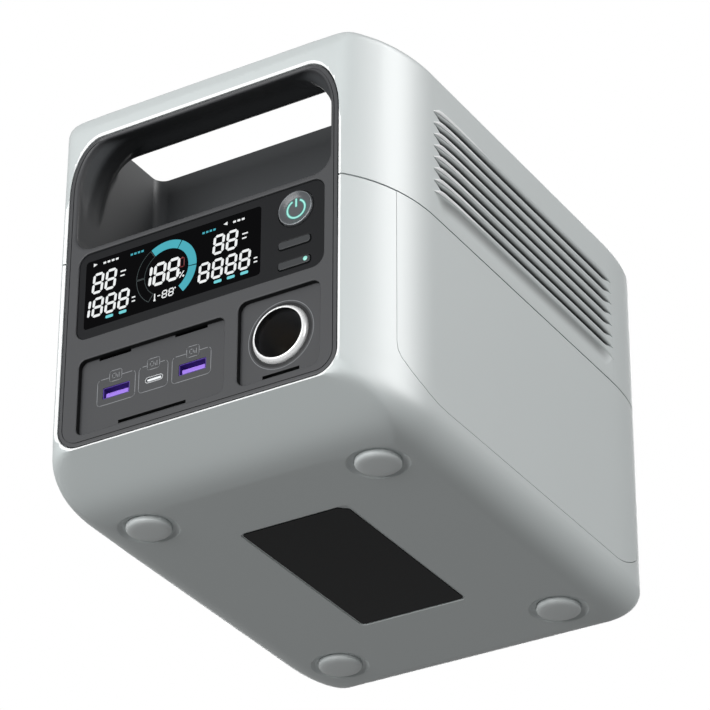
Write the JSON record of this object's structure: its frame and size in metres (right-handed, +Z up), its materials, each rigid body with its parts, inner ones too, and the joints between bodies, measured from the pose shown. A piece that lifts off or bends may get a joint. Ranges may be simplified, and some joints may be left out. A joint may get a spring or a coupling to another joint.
{
  "type": "portable power station",
  "caption": "Box-shaped portable battery with a carry opening through its upper front edge, dark front panel with display, push buttons, USB ports and a round 12 V socket, and louvred sides.",
  "frame": {"origin": "centre of the bounding box at the bottom, level with the undersides of the feet", "axes": "+Z up, +Y from the front panel towards the rear, +X to the right as seen from the front"},
  "size_m": [0.1628, 0.228, 0.1736],
  "materials": {
    "shell_grey": "fine-textured light grey moulded shell",
    "panel_grey": "dark grey moulded front panel",
    "liner_grey": "dark grey moulded liner",
    "bezel_black": "near-black satin moulding",
    "display_black": "black display window with lit digits",
    "display_body": "white light box of the display",
    "board_green": "glass-fibre board with green solder mask",
    "board_blue": "glass-fibre board with blue solder mask",
    "switch_black": "black switch bodies",
    "button_grey": "dark grey button cap with a bright bevelled edge",
    "symbol_teal": "clear light pipe lit in teal",
    "plate_grey": "dark grey moulded plate",
    "plated_steel": "nickel-plated pressed steel",
    "tongue_purple": "purple moulded contact carrier",
    "tongue_white": "white moulded contact carrier",
    "chrome_ring": "bright chrome-plated ring",
    "socket_black": "black heat-resistant moulding",
    "insulator": "cream insulating disc",
    "brass_contact": "plain brass",
    "spring_steel": "spring steel wire",
    "cell_sleeve": "blue shrink sleeve over a metal can",
    "holder_black": "black moulded cell holder",
    "nickel_strip": "nickel strip",
    "frame_black": "black moulded inner frame",
    "cap_sleeve": "dark shrink sleeve",
    "copper": "enamelled copper winding",
    "sink_alu": "extruded aluminium",
    "fan_black": "black moulded fan",
    "zinc_steel": "zinc-plated steel",
    "lead_red": "red silicone insulation",
    "ribbon_white": "white flat ribbon",
    "foot_grey": "grey rubber foot",
    "label_black": "blank black plate"
  },
  "bodies": {
    "housing": {"top_shell": "shell_grey", "lower_shell": "shell_grey", "side_panel_left": "shell_grey", "side_panel_right": "shell_grey", "front_panel": "panel_grey", "handle_liner": "liner_grey", "display_bezel": "bezel_black", "display_window": "display_black", "display_module": "display_body", "control_board": "board_green", "tact_switches": "switch_black", "usb_plate": "plate_grey", "socket_plate": "plate_grey", "usb_a_shells": "plated_steel", "usb_a_tongues": "tongue_purple", "usb_c_shell": "plated_steel", "usb_c_tongue": "tongue_white", "usb_board": "board_green", "socket_ring": "chrome_ring", "socket_barrel": "socket_black", "socket_nut": "socket_black", "socket_insulator": "insulator", "socket_spring": "spring_steel", "battery_cells": "cell_sleeve", "lower_cell_holder": "holder_black", "upper_cell_holder": "holder_black", "cell_straps": "nickel_strip", "battery_board": "board_blue", "mid_frame": "frame_black", "power_board": "board_green", "capacitors": "cap_sleeve", "inductors": "copper", "heat_sink": "sink_alu", "fan_frame": "fan_black", "fan_screws": "zinc_steel", "charge_jack": "socket_black", "charge_jack_nut": "plated_steel", "battery_leads": "lead_red", "display_ribbon": "ribbon_white", "housing_screws": "zinc_steel", "board_screws": "zinc_steel", "bezel_screws": "zinc_steel", "feet": "foot_grey", "label_plate": "label_black"},
    "power_button": {"power_button": "button_grey", "power_symbol": "symbol_teal"},
    "upper_button": {"upper_button": "button_grey"},
    "lower_button": {"lower_button": "button_grey", "lower_button_light": "symbol_teal"},
    "fan_rotor": {"fan_rotor": "fan_black"},
    "socket_contact": {"socket_contact": "brass_contact"}
  },
  "joints": [
    {"name": "power_button_push", "type": "slide", "parent": "housing", "child": "power_button", "axis": [0, 1, 0], "range_m": [0, 0.0006], "stiffness_N_per_m": 500},
    {"name": "upper_button_push", "type": "slide", "parent": "housing", "child": "upper_button", "axis": [0, 1, 0], "range_m": [0, 0.0006], "stiffness_N_per_m": 500},
    {"name": "lower_button_push", "type": "slide", "parent": "housing", "child": "lower_button", "axis": [0, 1, 0], "range_m": [0, 0.0006], "stiffness_N_per_m": 500},
    {"name": "fan_spin", "type": "hinge", "parent": "housing", "child": "fan_rotor", "pos_m": [-0.0713, 0.0073, 0.13404], "axis": [1, 0, 0], "continuous": true},
    {"name": "socket_contact_push", "type": "slide", "parent": "housing", "child": "socket_contact", "axis": [0, 1, 0], "range_m": [0, 0.0025], "stiffness_N_per_m": 1200, "deforming": ["socket_spring"]}
  ]
}
